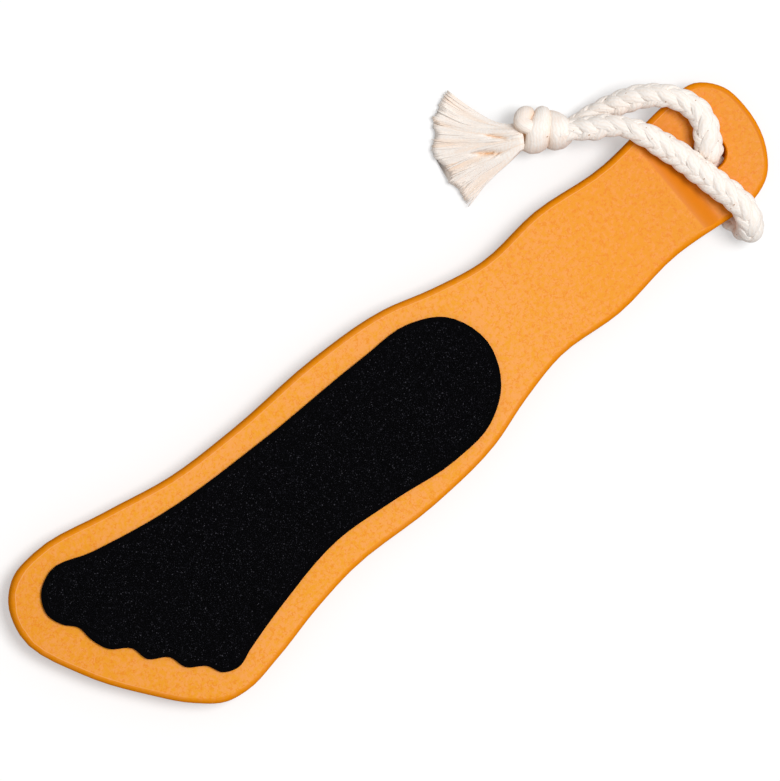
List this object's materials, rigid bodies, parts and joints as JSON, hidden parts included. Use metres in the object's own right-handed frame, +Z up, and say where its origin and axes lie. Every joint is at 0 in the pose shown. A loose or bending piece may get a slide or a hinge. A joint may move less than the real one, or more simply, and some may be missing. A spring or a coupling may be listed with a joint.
{
  "type": "foot file",
  "caption": "Wooden paddle in the outline of a foot with abrasive sheets on both faces and a knotted rope loop through its thinned end, for smoothing rough skin.",
  "frame": {"origin": "on the table, under the middle of the paddle, with the rope left out", "axes": "+X runs from the toe end to the hanging end, +Y is the big toe's side, +Z is up, away from the table; the coarse face looks up"},
  "size_m": [0.25, 0.0908, 0.0187],
  "materials": {
    "lacquered_wood": "orange lacquer over fine speckled grain, satin gloss",
    "adhesive_film": "clear amber film",
    "backing_paper": "dark waterproof paper",
    "coarse_grit": "black mineral grit with fine glints",
    "fine_grit": "black fine mineral grit",
    "cotton_rope": "undyed braided cotton with seed flecks",
    "cotton_yarn": "loose undyed cotton yarn"
  },
  "bodies": {
    "root": {"board": "lacquered_wood", "coarse_adhesive": "adhesive_film", "coarse_backing": "backing_paper", "coarse_grit": "coarse_grit", "fine_adhesive": "adhesive_film", "fine_backing": "backing_paper", "fine_grit": "fine_grit", "rope_loop": "cotton_rope", "rope_knot": "cotton_rope", "tassel_end_a": "cotton_yarn", "tassel_end_b": "cotton_yarn"}
  },
  "joints": []
}
